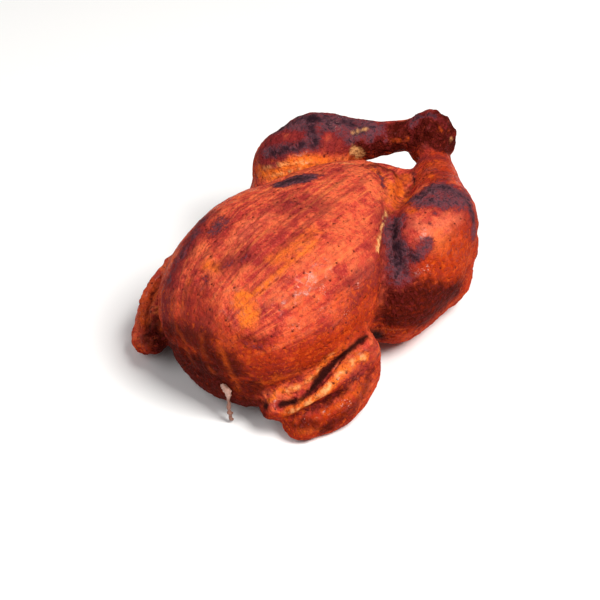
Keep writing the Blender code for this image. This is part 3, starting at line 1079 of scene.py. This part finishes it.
@dataclass(frozen=True)
class RoastFinish:
    """Oily roasted skin: its colours from raw red to burnt, its painted shade, shadow, sheen and glints, and
    its gloss.
    """

    name: str = "roasted_skin"
    red: Colour = (0.70, 0.078, 0.038)
    orange: Colour = (0.84, 0.150, 0.054)
    gold: Colour = (0.88, 0.26, 0.06)
    deep_red: Colour = (0.42, 0.034, 0.028)
    # Painted shade: the skin's colours where it faces sideways or down
    shade_red: Colour = (0.54, 0.038, 0.006)
    shade_brown: Colour = (0.30, 0.018, 0.003)
    # Deep red, partly painted shade on the lower sides
    deep: Colour = (0.40, 0.029, 0.003)
    amber: Colour = (0.92, 0.180, 0.018)
    fat: Colour = (0.92, 0.44, 0.16)
    maroon: Colour = (0.20, 0.018, 0.019)
    # Dark browning, and painted shade low down and by the floor
    umber_and_shade: Colour = (0.058, 0.004, 0.0015)
    # Painted pinkish sheen
    rosy_sheen: Colour = (0.76, 0.15, 0.075)
    meat: Colour = (0.62, 0.10, 0.012)
    # Char, its purplish grey partly a painted sheen
    char: Colour = (0.135, 0.056, 0.072)
    coal: Colour = (0.022, 0.008, 0.013)
    # Painted sheen: tiny pale pinkish flecks
    sheen_fleck: Colour = (0.84, 0.20, 0.11)
    ember: Colour = (0.66, 0.090, 0.010)
    # Painted highlight for the glints
    painted_highlight: Colour = (0.92, 0.48, 0.40)
    speck: Colour = (0.10, 0.010, 0.008)
    # Painted shadow in the crevice
    crevice: Colour = (0.030, 0.005, 0.004)
    smoothest: float = 0.62
    grain_roughness: float = 0.16
    crust_roughness: float = 0.10
    coat: float = 0.40
    coat_roughness: float = 0.24
    reflection: float = 0.03
    bump: float = 0.9
    bump_depth: float = 0.0008
    streak_scale: Place = (24.0, 420.0, 60.0)
    furrow_scale: Place = (13.0, 190.0, 40.0)

    def material(self, mottle: Effect, pores: Effect, crust: Effect) -> bpy.types.Material:
        """Builds the material.

        Args:
            mottle: The browning effect.
            pores: The speck effect.
            crust: The burnt crust effect.

        Returns:
            The material.
        """
        material, desk, inputs = new_material(self.name)
        tex = self._textures(desk, mottle, pores, crust)
        colour = self._burning(tex, self._browning(tex, self._skin(tex)))
        desk.feed(inputs["Base Color"], colour)
        rough = desk.plus(desk.times(tex.grain["Fine"], self.grain_roughness), self.smoothest)
        rough = desk.plus(rough, desk.times(tex.burnt["Crust"], self.crust_roughness))
        desk.feed(inputs["Roughness"], rough)
        inputs["Specular IOR Level"].default_value = self.reflection
        inputs["Coat Roughness"].default_value = self.coat_roughness
        desk.feed(inputs["Coat Weight"], self._gloss(tex))
        desk.feed(inputs["Normal"], self._bump(tex))
        return material

    def _textures(self, desk: Desk, mottle: Effect, pores: Effect, crust: Effect) -> Textures:
        """Places the effects, and works out the streaks and how patchy the browning is.

        Args:
            desk: The material's desk.
            mottle: The browning effect.
            pores: The speck effect.
            crust: The burnt crust effect.

        Returns:
            What the rest of the material uses.
        """
        place = desk.place()
        tone = mottle.place(desk, {"Vector": place, "Broad Scale": 55.0, "Fine Scale": 210.0})
        grain = mottle.place(desk, {"Vector": place, "Broad Scale": 420.0, "Fine Scale": 1000.0})
        specks = pores.place(desk, {"Vector": place, "Scale": 285.0, "Size": 0.33})
        burnt = crust.place(desk, {"Vector": place, "Cover": desk.mask("char"), "Scale": 260.0})
        streaks = desk.noise(desk.scaled(desk.lie(), self.streak_scale), 1.0, 4.0, 0.4)
        patchy = desk.plus(tone["Fine"], desk.times(grain["Broad"], 0.6))
        patchy = desk.plus(patchy, desk.times(desk.sum("SUBTRACT", 0.5, streaks), 2.2))
        return Textures(desk, tone, grain, specks, burnt, streaks, patchy)

    def _skin(self, tex: Textures) -> Socket:
        """Colours the plain skin with streaks and furrows that run along the breast, and paints shade, sheen
        and glints.

        Args:
            tex: The textures.

        Returns:
            The colour.
        """
        desk, tone, streaks = tex.desk, tex.tone, tex.streaks
        blotch = desk.plus(desk.times(tone["Broad"], 0.55), desk.times(tone["Fine"], 0.45))
        top = desk.mix(desk.ramp(blotch, 0.15, 0.60), self.deep_red, self.red)
        top = desk.mix(desk.ramp(blotch, 0.38, 0.88), top, self.orange)
        top = desk.mix(desk.ramp(streaks, 0.50, 0.70, 0.65), top, self.orange)
        top = desk.mix(desk.ramp(streaks, 0.60, 0.76, 0.50), top, self.gold)
        top = desk.mix(desk.ramp(streaks, 0.46, 0.28, 0.7), top, self.deep_red)
        # Painted shade: a darker, browner copy of the skin where it faces sideways or down
        below = desk.mix(desk.ramp(blotch, 0.2, 0.8), self.shade_brown, self.shade_red)
        base = desk.mix(desk.mask("under"), top, below)
        # Painted pinkish sheen
        base = desk.mix(tex.patch("rosy_sheen", tone["Fine"], -0.5, 0.7), base, self.rosy_sheen)
        # Painted glints: tiny pale flecks where the skin faces up
        painted_glint = desk.ramp(tex.grain["Fine"], 0.70, 1.0, 0.36)
        painted_glint = desk.times(painted_glint, desk.ramp(desk.mask("under"), 0.7, 0.0))
        base = desk.mix(painted_glint, base, self.sheen_fleck)
        furrow = desk.noise(desk.scaled(desk.lie(), self.furrow_scale), 1.0, 3.0, 0.5)
        base = desk.mix(desk.ramp(furrow, 0.50, 0.30, 0.55), base, self.maroon)
        return desk.mix(desk.ramp(furrow, 0.56, 0.72, 0.45), base, self.orange)

    def _browning(self, tex: Textures, base: Socket) -> Socket:
        """Lays the browned and bare parts, painted shade in hollows and pits, and specks over the skin.

        Args:
            tex: The textures.
            base: The colour so far.

        Returns:
            The new colour.
        """
        desk, fine, patchy = tex.desk, tex.tone["Fine"], tex.patchy
        amber = desk.times(tex.patch("amber", fine, -0.5, 0.4), desk.ramp(tex.streaks, 0.14, 0.54))
        base = desk.mix(amber, base, self.amber)
        base = desk.mix(desk.times(desk.mask("meat"), 0.8), base, self.meat)
        # Deep red, partly painted shade on the lower sides
        base = desk.mix(tex.patch("deep", fine, -0.8, 0.7), base, self.deep)
        base = desk.mix(tex.patch("maroon", fine, -0.8, 0.7), base, self.maroon)
        # Dark browning, and painted shade low down and by the floor
        base = desk.mix(tex.patch("umber_and_shade", patchy, -1.1, 0.8), base, self.umber_and_shade)
        base = desk.mix(tex.patch("ember", patchy, -0.2, 0.8), base, self.ember)
        # Painted shade: hollows darkened with maroon and pits with dark brown
        base = desk.mix(desk.ramp(desk.mask("hollow"), 0.15, 0.9, 0.8), base, self.maroon)
        base = desk.mix(desk.ramp(desk.mask("pit"), 0.1, 0.9, 0.55), base, self.umber_and_shade)
        base = desk.mix(desk.ramp(tex.grain["Broad"], 0.50, 1.0, 0.38), base, self.maroon)
        return desk.mix(desk.times(tex.specks["Speck"], 0.9), base, self.speck)

    def _burning(self, tex: Textures, base: Socket) -> Socket:
        """Lays the char, flecks, painted pale highlights, fat and the painted shadow in the crevice over the
        rest.

        Args:
            tex: The textures.
            base: The colour so far.

        Returns:
            The finished colour.
        """
        desk, patchy = tex.desk, tex.patchy
        base = desk.mix(desk.slope(tex.burnt["Crust"], 0.0, 0.55), base, self.maroon)
        # Char, its purplish grey partly a painted sheen
        base = desk.mix(desk.slope(tex.burnt["Crust"], 0.35, 0.95), base, self.char)
        base = desk.mix(desk.slope(tex.burnt["Height"], 0.36, 0.66, 0.8), base, self.coal)
        base = desk.mix(tex.patch("coal", patchy, -0.3, 0.9), base, self.coal)
        flecks = desk.ramp(tex.grain["Broad"], 0.32, 0.05, 0.5)
        for layer, low, high in (("under", 0.15, 0.5), ("umber_and_shade", 0.9, 0.2), ("char", 0.5, 0.0)):
            flecks = desk.times(flecks, desk.ramp(desk.mask(layer), low, high))
        base = desk.mix(flecks, base, self.ember)
        # Painted highlights: pale glints
        base = desk.mix(tex.patch("painted_glint", tex.grain["Fine"], 0.70, 0.95), base, self.painted_highlight)
        base = desk.mix(tex.patch("fat", patchy, -0.1, 0.75), base, self.fat)
        # Painted shadow in the wing's crevice
        return desk.mix(desk.mask("crevice"), base, self.crevice)

    def _gloss(self, tex: Textures) -> Socket:
        """Thins the oil where the skin is dark, dry, low or in a hollow.

        Args:
            tex: The textures.

        Returns:
            The coat's weight.
        """
        desk = tex.desk
        oily = desk.times(desk.ramp(desk.mask("under"), 0.8, 0.0), self.coat)
        oily = desk.times(oily, desk.ramp(tex.burnt["Crust"], 0.9, 0.0))
        limits = (("hollow", 0.6, 0.1), ("crevice", 0.5, 0.0), ("umber_and_shade", 1.3, 0.0), ("maroon", 1.5, 0.0))
        for layer, low, high in limits:
            oily = desk.times(oily, desk.ramp(desk.mask(layer), low, high))
        oily = desk.times(oily, desk.ramp(tex.grain["Broad"], 0.15, 0.95))
        return desk.times(oily, desk.ramp(tex.tone["Fine"], -0.1, 1.0))

    def _bump(self, tex: Textures) -> Socket:
        """Raises wrinkles, pores and flakes that are finer than the mesh.

        Args:
            tex: The textures.

        Returns:
            The normal.
        """
        desk = tex.desk
        height = desk.plus(tex.grain["Broad"], desk.times(tex.grain["Fine"], 0.4))
        height = desk.plus(height, desk.times(tex.streaks, 1.2))
        height = desk.plus(height, desk.times(tex.tone["Fine"], 0.8))
        height = desk.sum("SUBTRACT", height, desk.times(tex.specks["Pit"], 1.2))
        height = desk.plus(height, desk.times(tex.burnt["Height"], 1.2))
        return desk.bump(height, self.bump, self.bump_depth)


@dataclass(frozen=True)
class BoneFinish:
    """Pale cooked bone with scraps of brown, and browner low down."""

    name: str = "neck_bone"
    pale: Colour = (0.58, 0.34, 0.27)
    brown: Colour = (0.20, 0.07, 0.04)
    pale_above: float = 0.024
    brown_below: float = 0.017
    roughness: float = 0.45

    def material(self, mottle: Effect, pores: Effect) -> bpy.types.Material:
        """Builds the material from the shared effects.

        Args:
            mottle: The browning effect.
            pores: The speck effect.

        Returns:
            The material.
        """
        material, desk, inputs = new_material(self.name)
        place = desk.place()
        tone = mottle.place(desk, {"Vector": place, "Broad Scale": 260.0, "Fine Scale": 900.0})
        specks = pores.place(desk, {"Vector": place, "Scale": 600.0, "Size": 0.2})
        colour = desk.mix(desk.times(tone["Broad"], 0.7), self.pale, self.brown)
        height = desk.add("ShaderNodeSeparateXYZ", {"Vector": place}).outputs["Z"]
        colour = desk.mix(desk.ramp(height, self.pale_above, self.brown_below, 0.8), colour, self.brown)
        desk.feed(inputs["Base Color"], desk.mix(specks["Speck"], colour, self.brown))
        inputs["Roughness"].default_value = self.roughness
        desk.feed(inputs["Normal"], desk.bump(tone["Fine"], 0.5, 0.0004))
        return material


@dataclass
class NeckBone:
    """The thin end of neck bone that sticks out under the breast. Lengths are in millimetres."""

    name: str = "neck_bone"
    route: tuple[Place, ...] = (
        (-124, -14, 27),
        (-130, -16.5, 28),
        (-131, -20, 26.5),
        (-130.5, -19.5, 20),
        (-130.5, -20, 10),
        (-129.5, -20.5, 2.5),
    )
    radii: tuple[float, ...] = (2.2, 2.5, 2.2, 1.2, 1.3, 1.4)
    voxel: float = 0.6
    smoothing: int = 4
    lumps: Relief = Relief(0.95, 3.0)
    seed: int = 5

    def build(self) -> bpy.types.Object:
        """Makes the bone as a lumpy tapered tube.

        Returns:
            The piece, riding on the body.
        """
        bm = bmesh.new()
        for place, radius in zip(self.route, self.radii):
            spot = Matrix.Translation(Vector(place) * MM) @ Matrix.Scale(radius * MM, 4)
            bmesh.ops.create_icosphere(bm, subdivisions=3, radius=1.0, matrix=spot)
        for start, end, wide, narrow in zip(self.route, self.route[1:], self.radii, self.radii[1:]):
            a, b = Vector(start) * MM, Vector(end) * MM
            turn = (b - a).to_track_quat("Z", "Y").to_matrix().to_4x4()
            bmesh.ops.create_cone(
                bm,
                cap_ends=True,
                segments=24,
                radius1=wide * MM,
                radius2=narrow * MM,
                depth=(b - a).length,
                matrix=Matrix.Translation((a + b) / 2) @ turn,
            )
        obj = placed(self.name, bm)
        divide(obj, self.voxel * MM)
        hide = Hide(obj)
        hide.smooth(self.smoothing)
        hide.push(self.lumps.at(hide.points, Noise(self.seed)))
        obj.data.shade_smooth()
        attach(obj, BODY)
        log.info("%s: %d faces", self.name, len(obj.data.polygons))
        return obj


@dataclass(frozen=True)
class Light:
    """A soft square lamp that faces the bird."""

    name: str
    azimuth: float
    elevation: float
    distance: float
    size: float
    power: float
    colour: Colour = (1.0, 1.0, 1.0)

    def place(self, aim: Vector) -> None:
        """Sets the lamp up.

        Args:
            aim: What it points at.
        """
        data = bpy.data.lights.new(self.name, "AREA")
        data.size = self.size
        data.energy = self.power
        data.color = self.colour
        obj = bpy.data.objects.new(self.name, data)
        bpy.context.scene.collection.objects.link(obj)
        away = direction(self.azimuth, self.elevation)
        obj.location = aim + away * self.distance
        obj.rotation_mode = "QUATERNION"
        obj.rotation_quaternion = away.to_track_quat("Z", "Y")


def direction(azimuth: float, elevation: float) -> Vector:
    """The way from the bird to a camera or lamp.

    Args:
        azimuth: Degrees round from -Y.
        elevation: Degrees above the floor.

    Returns:
        A vector one metre long.
    """
    turn, rise = math.radians(azimuth), math.radians(elevation)
    return Vector((math.sin(turn) * math.cos(rise), -math.cos(turn) * math.cos(rise), math.sin(rise)))


@dataclass
class Studio:
    """The pale floor, the soft lamps and the camera."""

    camera_azimuth: float = -52.0
    camera_elevation: float = 38.0
    camera_distance: float = 0.957
    lens: float = 85.0
    aim: Vector = field(default_factory=lambda: Vector((-0.02087, 0.01009, 0.01491)))
    lamp_aim: Place = (0.0, 0.0, 0.05)
    floor_size: float = 8.0
    floor_drop: float = 0.0005
    floor_roughness: float = 0.7
    floor_colour: Colour = (0.95, 0.95, 0.95)
    world_strength: float = 0.17
    lamps: tuple[Light, ...] = (
        Light("overhead", 2.0, 56.0, 2.4, 1.15, 77.0, (1.0, 0.98, 0.95)),
        Light("side_fill", -100.0, 45.0, 2.0, 1.4, 13.0),
    )

    def build(self) -> None:
        """Makes all of the studio."""
        self._floor()
        self._world()
        for lamp in self.lamps:
            lamp.place(Vector(self.lamp_aim))
        self._camera()

    def _floor(self) -> None:
        """A plain pale floor just under the bird."""
        bm = bmesh.new()
        bmesh.ops.create_grid(bm, x_segments=1, y_segments=1, size=self.floor_size / 2)
        floor = placed("floor", bm)
        floor.location.z = -self.floor_drop
        material, desk, inputs = new_material("pale_floor")
        desk.feed(inputs["Base Color"], self.floor_colour)
        desk.feed(inputs["Roughness"], self.floor_roughness)
        floor.data.materials.append(material)

    def _world(self) -> None:
        """Even white light from all round."""
        world = bpy.data.worlds.new("studio")
        world.use_nodes = True
        background = world.node_tree.nodes["Background"]
        background.inputs["Color"].default_value = (1.0, 1.0, 1.0, 1.0)
        background.inputs["Strength"].default_value = self.world_strength
        bpy.context.scene.world = world

    def _camera(self) -> None:
        """Looks down on the bird from the neck end's right."""
        data = bpy.data.cameras.new("camera")
        data.lens = self.lens
        camera = bpy.data.objects.new("camera", data)
        bpy.context.scene.collection.objects.link(camera)
        away = direction(self.camera_azimuth, self.camera_elevation)
        camera.location = self.aim + away * self.camera_distance
        camera.rotation_mode = "QUATERNION"
        camera.rotation_quaternion = away.to_track_quat("Z", "Y")
        bpy.context.scene.camera = camera
        bpy.context.scene.view_settings.view_transform = "Standard"


def main() -> None:
    """Dresses the bird and sets up the studio."""
    logging.basicConfig(level=logging.INFO, format="%(name)s %(message)s")
    mottle, pores, crust = mottle_effect(), pore_effect(), crust_effect()
    bird = RoastSkin().build()
    bird.data.materials.append(RoastFinish().material(mottle, pores, crust))
    bone = NeckBone().build()
    bone.data.materials.append(BoneFinish().material(mottle, pores))
    Studio().build()


if __name__ == "__main__":
    main()
